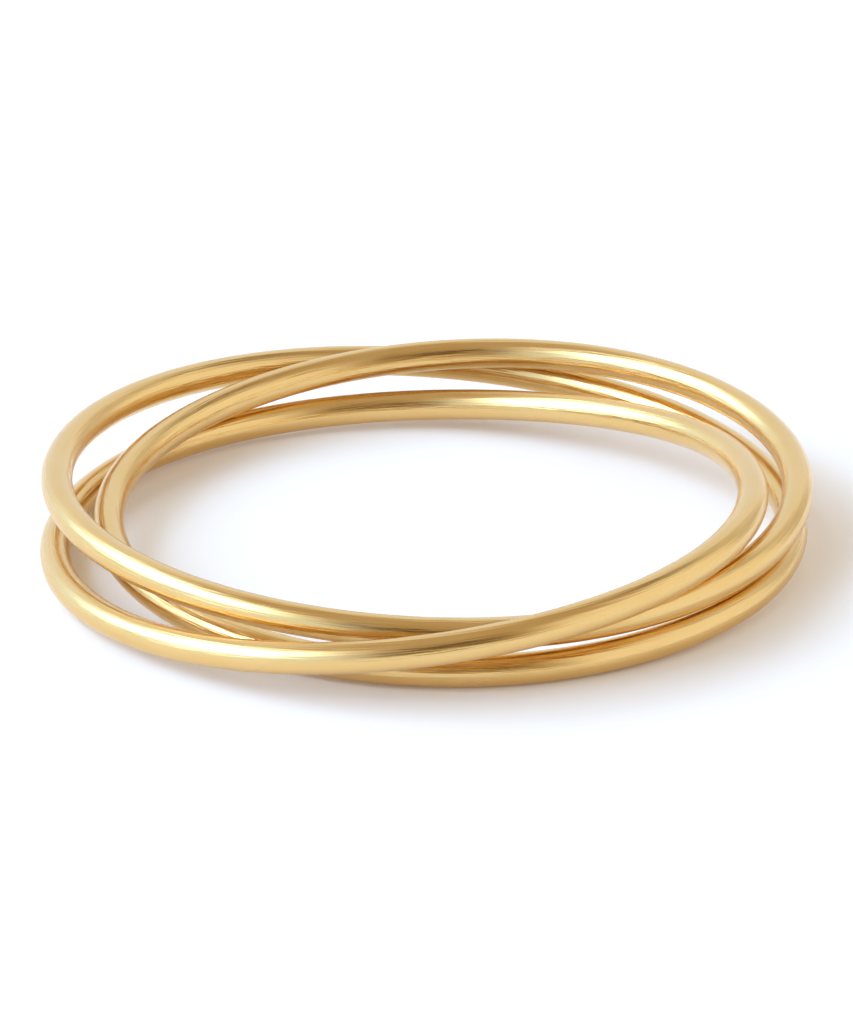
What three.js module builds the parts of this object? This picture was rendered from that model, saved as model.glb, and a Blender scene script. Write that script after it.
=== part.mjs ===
// Layered ring: a plain wire ring linked with a wire that is wound twice, three strands in all.
// Millimetres, +Z up. The ring lies on its side on z = 0, centred on the origin, and -Y is its front.
import * as THREE from 'three';

// Driving dimensions
const WIRE_DIAMETER = 0.9;
const MEAN_RING_DIAMETER = 20.4;
const SIDES_OF_WIRE = 12;
const STEPS_PER_TURN = 104;

// Finish: warm yellow gold, softly polished
const GOLD = { color: 0xe8bd6f, roughness: 0.22, metalness: 1 };

// How each wire strays from the mean circle as it goes round, in wire diameters.
// Each sway repeats `waves` times per turn: it reaches `out` away from the finger at the
// angle `outAt`, and `up` along the ring's axis at the angle `upAt`, both in degrees
// counted from the ring's left side round by its back.
const PLAIN_RING = {
  name: 'plain_ring_wire',
  turns: 1,
  out: -0.15,
  up: -0.05,
  sways: [
    { waves: 1, out: 0.85, outAt: -20, up: 1.15, upAt: -155 },
    { waves: 2, out: 0.15, outAt: 140, up: 0.20, upAt: 50 },
    { waves: 3, out: 0.05, outAt: -90, up: 0.05, upAt: 90 },
  ],
};
const DOUBLE_RING = {
  name: 'double_ring_wire',
  turns: 2,
  out: 0,
  up: 0,
  sways: [
    { waves: 0.5, out: 0.60, outAt: -170, up: 0.80, upAt: 125 },
    { waves: 1, out: 1.30, outAt: 105, up: 0.40, upAt: 55 },
    { waves: 1.5, out: 0.30, outAt: -150, up: 0.25, upAt: 180 },
    { waves: 2, out: 0.10, outAt: -90, up: 0.05, upAt: -75 },
    { waves: 2.5, out: 0.05, outAt: 25, up: 0.05, upAt: -30 },
  ],
};

// Closed centre line of one wire
class WirePath extends THREE.Curve {
  constructor(wire) {
    super();
    this.wire = wire;
  }

  getPoint(t, target = new THREE.Vector3()) {
    const angle = 2 * Math.PI * this.wire.turns * t;
    const sway = (size, at, waves) => size * Math.cos(waves * angle - THREE.MathUtils.degToRad(at));
    let out = this.wire.out;
    let up = this.wire.up;
    for (const row of this.wire.sways) {
      out += sway(row.out, row.outAt, row.waves);
      up += sway(row.up, row.upAt, row.waves);
    }
    const radius = MEAN_RING_DIAMETER / 2 + out * WIRE_DIAMETER;
    return target.set(-radius * Math.cos(angle), radius * Math.sin(angle), up * WIRE_DIAMETER);
  }
}

// Round wire bent along its closed path
function bendWire(wire) {
  const steps = STEPS_PER_TURN * wire.turns;
  const shape = new THREE.TubeGeometry(new WirePath(wire), steps, WIRE_DIAMETER / 2, SIDES_OF_WIRE, true);
  const mesh = new THREE.Mesh(shape, new THREE.MeshStandardMaterial(GOLD));
  mesh.name = wire.name;
  return mesh;
}

const ring = new THREE.Group();
ring.add(bendWire(PLAIN_RING), bendWire(DOUBLE_RING));

// Seat the pair on z = 0 with the middle of its outline over the origin
const extent = new THREE.Box3().setFromObject(ring, true);
const middle = extent.getCenter(new THREE.Vector3());
ring.position.set(-middle.x, -middle.y, -extent.min.z);

export default ring;
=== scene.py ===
"""A layered ring: a plain gold wire ring linked with a wire that is wound twice.

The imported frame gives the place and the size. The faceted wires are replaced by smooth ones
bent along the same route, dressed in polished gold plate, on a white table in soft light.
Lengths are metres, named values in millimetres are turned into metres by MM.
"""

from __future__ import annotations

import logging
import math
from dataclasses import dataclass, field
from enum import Enum

import bmesh
import bpy
from mathutils import Matrix, Vector

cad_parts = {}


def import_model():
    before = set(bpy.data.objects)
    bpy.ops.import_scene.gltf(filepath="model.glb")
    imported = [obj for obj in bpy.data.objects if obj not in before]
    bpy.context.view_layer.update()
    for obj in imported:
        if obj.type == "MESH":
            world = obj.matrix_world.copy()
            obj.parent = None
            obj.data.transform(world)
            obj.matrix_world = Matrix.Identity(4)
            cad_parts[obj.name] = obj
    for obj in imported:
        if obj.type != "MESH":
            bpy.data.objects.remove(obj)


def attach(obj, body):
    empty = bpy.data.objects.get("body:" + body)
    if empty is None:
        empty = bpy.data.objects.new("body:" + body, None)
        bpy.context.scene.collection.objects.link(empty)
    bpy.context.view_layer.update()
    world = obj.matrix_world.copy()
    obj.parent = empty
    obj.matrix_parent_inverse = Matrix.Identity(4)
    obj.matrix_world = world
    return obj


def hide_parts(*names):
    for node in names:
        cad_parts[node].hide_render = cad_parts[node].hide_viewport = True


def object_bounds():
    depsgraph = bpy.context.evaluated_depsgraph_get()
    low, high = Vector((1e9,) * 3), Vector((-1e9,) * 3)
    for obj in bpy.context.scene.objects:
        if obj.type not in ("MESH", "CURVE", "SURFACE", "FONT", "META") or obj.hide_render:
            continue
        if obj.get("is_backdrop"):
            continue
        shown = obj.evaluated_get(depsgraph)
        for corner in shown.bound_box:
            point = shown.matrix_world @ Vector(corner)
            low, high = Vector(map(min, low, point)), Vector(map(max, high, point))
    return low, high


logging.basicConfig(level=logging.INFO, format="%(name)s: %(message)s")
LOG = logging.getLogger("layered_ring")

MM = 0.001

# The ring's driving dimensions, as in the part
WIRE_DIAMETER = 0.9 * MM
MEAN_RING_DIAMETER = 20.4 * MM


class Winding(Enum):
    """How many times a wire goes round the finger before it closes on itself."""

    PLAIN = 1
    DOUBLE = 2


class WireMark(str, Enum):
    """Mesh attributes that tell a material where it is on the wire."""

    LOOP = "along_wire"
    SECTION = "round_wire"


def srgb(hex_value: str) -> tuple[float, float, float, float]:
    """Turns an sRGB hex colour into linear light.

    Args:
        hex_value: six hex digits, red first.

    Returns:
        Linear red, green and blue, with an alpha of 1.
    """
    linear = []
    for i in range(0, 6, 2):
        share = int(hex_value[i : i + 2], 16) / 255
        linear.append(share / 12.92 if share <= 0.04045 else ((share + 0.055) / 1.055) ** 2.4)
    return (*linear, 1.0)


def add_node(
    tree: bpy.types.NodeTree,
    kind: str,
    settings: dict[str, object] | None = None,
    inputs: dict[str | int, object] | None = None,
) -> bpy.types.Node:
    """Adds one shader node with its settings, its values and its links.

    Args:
        tree: the node tree that the node goes into.
        kind: the node's type name without its ShaderNode prefix.
        settings: the node's own properties by name.
        inputs: a value, or an output socket to link from, for each input by name or number.

    Returns:
        The new node.
    """
    node = tree.nodes.new("ShaderNode" + kind)
    for name, value in (settings or {}).items():
        setattr(node, name, value)
    for name, value in (inputs or {}).items():
        if isinstance(value, bpy.types.NodeSocket):
            tree.links.new(value, node.inputs[name])
        else:
            node.inputs[name].default_value = value
    return node


@dataclass(frozen=True)
class GoldPlate:
    """Warm yellow gold plated on drawn silver wire, burnished to a soft polish.

    Real gold plate mirrors its surroundings with a yellow tint. Drawing the wire through a die
    leaves fine lines along it, and burnishing rounds them off, so a reflection is sharp along
    the wire, a little blurred and streaky round its section, and uneven from place to place.
    Real drawn lines are a few hundredths of a millimetre wide. They are about twice as coarse
    here, so that they show.
    """

    light_gold: str = "ecc889"
    deep_gold: str = "e2ba73"
    roughness: float = 0.225
    roughness_swing: float = 0.12
    cloud_size: float = 2.5 * MM
    cloud_detail: float = 3.0
    cloud_contrast: float = 0.55
    line_length: float = 2.5 * MM
    line_width: float = 0.08 * MM
    line_depth: float = 0.016 * MM
    line_detail: float = 2.0
    line_contrast: float = 0.6
    brightest_sheen: float = 0.6
    dullest_sheen: float = 1.4

    def build(self) -> bpy.types.Material:
        """Makes the gold.

        Returns:
            The material, which reads the marks that Wire leaves on its mesh.
        """
        material = bpy.data.materials.new("burnished_gold_plate")
        material.use_nodes = True
        tree = material.node_tree
        tree.nodes.clear()
        output = add_node(tree, "OutputMaterial")
        place = add_node(tree, "TexCoord").outputs["Object"]
        loop = add_node(
            tree, "Attribute", {"attribute_name": WireMark.LOOP.value}
        ).outputs["Vector"]
        section = add_node(
            tree, "Attribute", {"attribute_name": WireMark.SECTION.value}
        ).outputs["Vector"]

        # Clouds of slightly warmer and duller plate, a few millimetres across
        clouds = add_node(
            tree,
            "TexNoise",
            None,
            {
                "Vector": place,
                "Scale": 1 / self.cloud_size,
                "Detail": self.cloud_detail,
                "Roughness": self.cloud_contrast,
            },
        ).outputs[0]
        colour = add_node(
            tree,
            "Mix",
            {"data_type": "RGBA"},
            {"Factor": clouds, 6: srgb(self.deep_gold), 7: srgb(self.light_gold)},
        ).outputs[2]

        # Drawn lines: long along the wire and narrow round its section
        along = add_node(
            tree,
            "VectorMath",
            {"operation": "SCALE"},
            {"Vector": loop, "Scale": self.line_width / self.line_length},
        ).outputs["Vector"]
        drawn = add_node(
            tree, "VectorMath", {"operation": "ADD"}, {0: along, 1: section}
        ).outputs["Vector"]
        lines = add_node(
            tree,
            "TexNoise",
            None,
            {
                "Vector": drawn,
                "Scale": 1 / self.line_width,
                "Detail": self.line_detail,
                "Roughness": self.line_contrast,
            },
        ).outputs[0]

        # Sheen: clouds and lines together set how dull the plate is
        sheen = add_node(
            tree, "Math", {"operation": "ADD"}, {0: clouds, 1: lines}
        ).outputs["Value"]
        roughness = add_node(
            tree,
            "MapRange",
            None,
            {
                "Value": sheen,
                "From Min": self.brightest_sheen,
                "From Max": self.dullest_sheen,
                "To Min": self.roughness - self.roughness_swing / 2,
                "To Max": self.roughness + self.roughness_swing / 2,
            },
        ).outputs["Result"]
        bump = add_node(
            tree,
            "Bump",
            None,
            {"Height": lines, "Distance": self.line_depth, "Strength": 1.0},
        ).outputs["Normal"]
        shader = add_node(
            tree,
            "BsdfPrincipled",
            None,
            {"Base Color": colour, "Metallic": 1.0, "Roughness": roughness, "Normal": bump},
        )
        tree.links.new(shader.outputs["BSDF"], output.inputs["Surface"])
        return material


@dataclass(frozen=True)
class TableAcrylic:
    """White cast acrylic with a ground satin face: it spreads the light and glows faintly."""

    white: str = "fffbf5"
    glow: float = 0.05
    roughness: float = 0.6
    specular: float = 0.2

    def build(self) -> bpy.types.Material:
        """Makes the table's white.

        Returns:
            The material.
        """
        material = bpy.data.materials.new("white_satin_acrylic")
        material.use_nodes = True
        shader = material.node_tree.nodes["Principled BSDF"]
        shader.inputs["Base Color"].default_value = srgb(self.white)
        shader.inputs["Roughness"].default_value = self.roughness
        shader.inputs["Specular IOR Level"].default_value = self.specular
        shader.inputs["Emission Color"].default_value = srgb(self.white)
        shader.inputs["Emission Strength"].default_value = self.glow
        return material


@dataclass(frozen=True)
class Sway:
    """One way in which a wire strays from the mean circle, in wire diameters.

    It repeats `waves` times in each turn, reaches `out` away from the finger at the angle
    `out_at`, and `up` along the ring's axis at the angle `up_at`, both in degrees counted
    from the ring's left side round by its back.
    """

    waves: float
    out: float
    out_at: float
    up: float
    up_at: float


@dataclass
class Wire:
    """One closed round wire: its route, its section and its mesh."""

    name: str
    stands_for: str
    winding: Winding
    out: float
    up: float
    sways: tuple[Sway, ...]
    sides: int = 48
    steps_per_turn: int = 320
    piece: bpy.types.Object | None = field(default=None, init=False)

    @property
    def steps(self) -> int:
        """Sections along the whole wire."""
        return self.steps_per_turn * self.winding.value

    def centre(self, step: float) -> Vector:
        """Finds a point on the wire's centre line.

        Args:
            step: how far along the wire, in sections.

        Returns:
            The point, about the ring's axis.
        """
        angle = math.tau * self.winding.value * step / self.steps
        out, up = self.out, self.up
        for sway in self.sways:
            out += sway.out * math.cos(sway.waves * angle - math.radians(sway.out_at))
            up += sway.up * math.cos(sway.waves * angle - math.radians(sway.up_at))
        radius = MEAN_RING_DIAMETER / 2 + out * WIRE_DIAMETER
        return Vector((-radius * math.cos(angle), radius * math.sin(angle), up * WIRE_DIAMETER))

    def section_place(self, step: int) -> Matrix:
        """Finds where a section of the wire stands.

        Args:
            step: which section.

        Returns:
            The matrix that takes a circle from the XY plane to that section, with its X axis
            level and pointing away from the finger.
        """
        along = (self.centre(step + 0.5) - self.centre(step - 0.5)).normalized()
        outward = along.cross(Vector((0, 0, 1))).normalized()
        if outward.dot(self.centre(step)) < 0:
            outward = -outward
        upward = along.cross(outward)
        turn = Matrix((outward, upward, along)).transposed().to_4x4()
        return Matrix.Translation(self.centre(step)) @ turn

    def build(self, gold: bpy.types.Material) -> bpy.types.Object:
        """Bends the wire: a circle is extruded from section to section until it closes.

        Args:
            gold: the finish.

        Returns:
            The wire's object, about the ring's axis.
        """
        shape = bmesh.new()
        made = bmesh.ops.create_circle(shape, segments=self.sides, radius=WIRE_DIAMETER / 2)
        first = made["verts"]
        bmesh.ops.transform(shape, matrix=self.section_place(0), verts=first)
        edges = list({edge for vert in first for edge in vert.link_edges})
        start_edges = edges
        for step in range(1, self.steps):
            grown = bmesh.ops.extrude_edge_only(shape, edges=edges)["geom"]
            verts = [item for item in grown if isinstance(item, bmesh.types.BMVert)]
            edges = [item for item in grown if isinstance(item, bmesh.types.BMEdge)]
            move = self.section_place(step) @ self.section_place(step - 1).inverted()
            bmesh.ops.transform(shape, matrix=move, verts=verts)
        bmesh.ops.bridge_loops(shape, edges=start_edges + edges)
        bmesh.ops.recalc_face_normals(shape, faces=shape.faces)
        mesh = bpy.data.meshes.new(self.name)
        shape.to_mesh(mesh)
        shape.free()
        mesh.shade_smooth()
        mesh.materials.append(gold)
        self.mark(mesh)
        self.piece = bpy.data.objects.new(self.name, mesh)
        bpy.context.scene.collection.objects.link(self.piece)
        return self.piece

    def mark(self, mesh: bpy.types.Mesh) -> None:
        """Leaves each point's place in the straight wire on the mesh, for the drawn lines.

        Args:
            mesh: the wire's mesh, whose points still come section by section.
        """
        loop = mesh.attributes.new(WireMark.LOOP.value, "FLOAT_VECTOR", "POINT")
        section = mesh.attributes.new(WireMark.SECTION.value, "FLOAT_VECTOR", "POINT")
        coil_radius = self.winding.value * MEAN_RING_DIAMETER / 2
        for vert in mesh.vertices:
            step, side = divmod(vert.index, self.sides)
            turned = math.tau * step / self.steps
            loop_place = (coil_radius * math.cos(turned), coil_radius * math.sin(turned), 0)
            loop.data[vert.index].vector = loop_place
            place = self.section_place(step).inverted() @ vert.co
            section.data[vert.index].vector = (place.x, 0, place.y)

    def seat(self, shift: Vector) -> None:
        """Moves the wire's points, while its object stays at the origin.

        Args:
            shift: how far.
        """
        self.piece.data.transform(Matrix.Translation(shift))
        self.piece.data.update()

    def box(self) -> tuple[Vector, Vector]:
        """Lowest and highest corner of the wire."""
        points = [vert.co for vert in self.piece.data.vertices]
        low = Vector(min(point[axis] for point in points) for axis in range(3))
        high = Vector(max(point[axis] for point in points) for axis in range(3))
        return low, high


@dataclass
class LayeredRing:
    """The two linked wires, seated where the frame has them."""

    finish: GoldPlate = field(default_factory=GoldPlate)
    plain: Wire = field(
        default_factory=lambda: Wire(
            name="plain_ring_gold",
            stands_for="plain_ring_wire",
            winding=Winding.PLAIN,
            out=-0.15,
            up=-0.05,
            sways=(
                Sway(waves=1, out=0.85, out_at=-20, up=1.15, up_at=-155),
                Sway(waves=2, out=0.15, out_at=140, up=0.20, up_at=50),
                Sway(waves=3, out=0.05, out_at=-90, up=0.05, up_at=90),
            ),
        )
    )
    double: Wire = field(
        default_factory=lambda: Wire(
            name="double_ring_gold",
            stands_for="double_ring_wire",
            winding=Winding.DOUBLE,
            out=0.0,
            up=0.0,
            sways=(
                Sway(waves=0.5, out=0.60, out_at=-170, up=0.80, up_at=125),
                Sway(waves=1, out=1.30, out_at=105, up=0.40, up_at=55),
                Sway(waves=1.5, out=0.30, out_at=-150, up=0.25, up_at=180),
                Sway(waves=2, out=0.10, out_at=-90, up=0.05, up_at=-75),
                Sway(waves=2.5, out=0.05, out_at=25, up=0.05, up_at=-30),
            ),
        )
    )

    def build(self, cad_box: tuple[Vector, Vector]) -> Vector:
        """Makes both wires and seats them in the frame's place.

        Args:
            cad_box: the frame's lowest and highest corner.

        Returns:
            The point that the wires' routes go round, in the frame.
        """
        gold = self.finish.build()
        wires = (self.plain, self.double)
        for wire in wires:
            wire.build(gold)
        boxes = [wire.box() for wire in wires]
        low = Vector(min(box[0][axis] for box in boxes) for axis in range(3))
        high = Vector(max(box[1][axis] for box in boxes) for axis in range(3))
        cad_low, cad_high = cad_box
        shift = (cad_low + cad_high - low - high) / 2
        shift.z = cad_low.z - low.z
        for wire in wires:
            wire.seat(shift)
            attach(wire.piece, "root")
            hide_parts(wire.stands_for)
            LOG.info("%s: %d sections of %d sides", wire.name, wire.steps, wire.sides)
        return shift


@dataclass(frozen=True)
class Panel:
    """One soft-edged patch of the light tent round the ring: lit cloth or a darker card.

    All its angles are degrees. Its azimuth is counted from the back round by the left, and its
    elevation from the table. It reaches half its width and height to each side of its middle,
    and fades out over `edge` degrees.
    """

    colour: str
    level: float
    azimuth: float
    half_width: float
    elevation: float
    half_height: float
    edge: float

    def light(self) -> tuple[float, float, float, float]:
        """The patch's colour at its level, in linear light."""
        return (*(share * self.level for share in srgb(self.colour)[:3]), 1.0)

    def heading(self) -> Vector:
        """The level direction from the ring to the patch."""
        azimuth = math.radians(self.azimuth)
        return Vector((-math.sin(azimuth), math.cos(azimuth), 0))

    def fade(
        self, tree: bpy.types.NodeTree, away: bpy.types.NodeSocket, half: float
    ) -> bpy.types.NodeSocket:
        """Turns an angle from the patch's middle into a share of its light.

        Args:
            tree: the world's node tree.
            away: the angle from the middle, in radians.
            half: the angle to the patch's edge, in degrees.

        Returns:
            The share, from 1 inside the edge to 0 outside it.
        """
        return add_node(
            tree,
            "MapRange",
            {"interpolation_type": "SMOOTHSTEP"},
            {
                "Value": away,
                "From Min": math.radians(half + self.edge / 2),
                "From Max": math.radians(half - self.edge / 2),
            },
        ).outputs["Result"]

    def share(
        self, tree: bpy.types.NodeTree, heading: bpy.types.NodeSocket, height: bpy.types.NodeSocket
    ) -> bpy.types.NodeSocket:
        """Adds the nodes that say how much of this patch a direction sees.

        Args:
            tree: the world's node tree.
            heading: the direction's level part, of length 1.
            height: the direction's elevation, in radians.

        Returns:
            The share of the patch's light, from 0 to 1.
        """
        facing = add_node(
            tree, "VectorMath", {"operation": "DOT_PRODUCT"}, {0: heading, 1: self.heading()}
        ).outputs["Value"]
        aside = add_node(tree, "Math", {"operation": "ARCCOSINE"}, {0: facing}).outputs["Value"]
        rise = add_node(
            tree, "Math", {"operation": "SUBTRACT"}, {0: height, 1: math.radians(self.elevation)}
        ).outputs["Value"]
        above = add_node(tree, "Math", {"operation": "ABSOLUTE"}, {0: rise}).outputs["Value"]
        return add_node(
            tree,
            "Math",
            {"operation": "MULTIPLY"},
            {
                0: self.fade(tree, aside, self.half_width),
                1: self.fade(tree, above, self.half_height),
            },
        ).outputs["Value"]


# Half the width of a panel that hangs all round the ring, past half a turn by its edge
ALL_ROUND = 200.0

# The tent's panels, each hung over the ones before it
TENT_PANELS = (
    # Back wall
    Panel(
        colour="e6efff",
        level=1.00,
        azimuth=5,
        half_width=30,
        elevation=15,
        half_height=29,
        edge=16,
    ),
    # Dim corner at the back right
    Panel(
        colour="f0efee",
        level=0.70,
        azimuth=-45,
        half_width=14,
        elevation=20,
        half_height=38,
        edge=16,
    ),
    # Grey ceiling
    Panel(
        colour="bcae9b",
        level=0.95,
        azimuth=0,
        half_width=ALL_ROUND,
        elevation=90,
        half_height=38,
        edge=24,
    ),
    # Darker patch high at the back right
    Panel(
        colour="bbaf9c",
        level=0.55,
        azimuth=-42,
        half_width=20,
        elevation=55,
        half_height=9,
        edge=14,
    ),
    # Dim front, where the camera stands
    Panel(
        colour="bfae90",
        level=0.78,
        azimuth=188,
        half_width=31,
        elevation=35,
        half_height=31,
        edge=22,
    ),
    # Dark card at the front, which draws a thin dark line on each strand
    Panel(
        colour="a07858",
        level=0.25,
        azimuth=180,
        half_width=24,
        elevation=35,
        half_height=12,
        edge=9,
    ),
    # Cool cloth low on the left
    Panel(
        colour="bfdaff",
        level=1.45,
        azimuth=98,
        half_width=58,
        elevation=8,
        half_height=33,
        edge=36,
    ),
    # Key light on the left
    Panel(
        colour="c2dcff",
        level=5.10,
        azimuth=95,
        half_width=38,
        elevation=36,
        half_height=19,
        edge=22,
    ),
)


@dataclass
class Studio:
    """White table, light tent and camera."""

    table_size: float = 4000 * MM
    tent_cloth: str = "f7fafd"
    tent_level: float = 0.98
    tent_strength: float = 1.2
    panels: tuple[Panel, ...] = TENT_PANELS
    camera_elevation: float = 22.84
    camera_distance: float = 196.9 * MM
    camera_nearest: float = 1 * MM
    camera_farthest: float = 10000 * MM
    lens: float = 241.2
    aim_right: float = -0.046 * MM
    aim_up: float = 0.047 * MM

    def build_table(self) -> None:
        """Lays the white table on z = 0."""
        shape = bmesh.new()
        bmesh.ops.create_grid(shape, x_segments=1, y_segments=1, size=self.table_size / 2)
        mesh = bpy.data.meshes.new("table")
        shape.to_mesh(mesh)
        shape.free()
        mesh.materials.append(TableAcrylic().build())
        table = bpy.data.objects.new("table", mesh)
        bpy.context.scene.collection.objects.link(table)
        table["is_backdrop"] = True

    def build_tent(self) -> None:
        """Lights the scene with a white tent whose panels are brighter or darker."""
        world = bpy.data.worlds.new("light_tent")
        world.use_nodes = True
        tree = world.node_tree
        tree.nodes.clear()
        output = add_node(tree, "OutputWorld")
        direction = add_node(tree, "TexCoord").outputs["Generated"]
        parts = add_node(tree, "SeparateXYZ", None, {"Vector": direction}).outputs
        height = add_node(tree, "Math", {"operation": "ARCSINE"}, {0: parts["Z"]}).outputs["Value"]
        level_part = add_node(
            tree, "CombineXYZ", None, {"X": parts["X"], "Y": parts["Y"]}
        ).outputs["Vector"]
        heading = add_node(
            tree, "VectorMath", {"operation": "NORMALIZE"}, {0: level_part}
        ).outputs["Vector"]
        cloth = (*(share * self.tent_level for share in srgb(self.tent_cloth)[:3]), 1.0)
        light: tuple[float, ...] | bpy.types.NodeSocket = cloth
        for panel in self.panels:
            light = add_node(
                tree,
                "Mix",
                {"data_type": "RGBA"},
                {"Factor": panel.share(tree, heading, height), 6: light, 7: panel.light()},
            ).outputs[2]
        background = add_node(
            tree, "Background", None, {"Color": light, "Strength": self.tent_strength}
        )
        tree.links.new(background.outputs["Background"], output.inputs["Surface"])
        bpy.context.scene.world = world

    def build_camera(self, target: Vector) -> None:
        """Sets the camera at the photo's angle.

        Args:
            target: the point that it looks at.
        """
        elevation = math.radians(self.camera_elevation)
        back = Vector((0, -math.cos(elevation), math.sin(elevation)))
        up = Vector((0, math.sin(elevation), math.cos(elevation)))
        aim = target + Vector((self.aim_right, 0, 0)) + up * self.aim_up
        lens = bpy.data.cameras.new("camera")
        lens.lens = self.lens
        lens.clip_start, lens.clip_end = self.camera_nearest, self.camera_farthest
        camera = bpy.data.objects.new("camera", lens)
        bpy.context.scene.collection.objects.link(camera)
        camera.location = aim + back * self.camera_distance
        camera.rotation_euler = back.to_track_quat("Z", "Y").to_euler()
        bpy.context.scene.camera = camera

    def build(self, target: Vector) -> None:
        """Makes the table, the light and the camera.

        Args:
            target: the point that the camera looks at.
        """
        self.build_table()
        self.build_tent()
        self.build_camera(target)
        settings = bpy.context.scene.view_settings
        settings.view_transform = "Standard"
        settings.look = "None"
        LOG.info("studio: table, %d tent panels, %.0f mm lens", len(self.panels), self.lens)


def main() -> None:
    """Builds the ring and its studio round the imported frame."""
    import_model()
    cad_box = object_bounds()
    middle = LayeredRing().build(cad_box)
    Studio().build(middle)


if __name__ == "__main__":
    main()
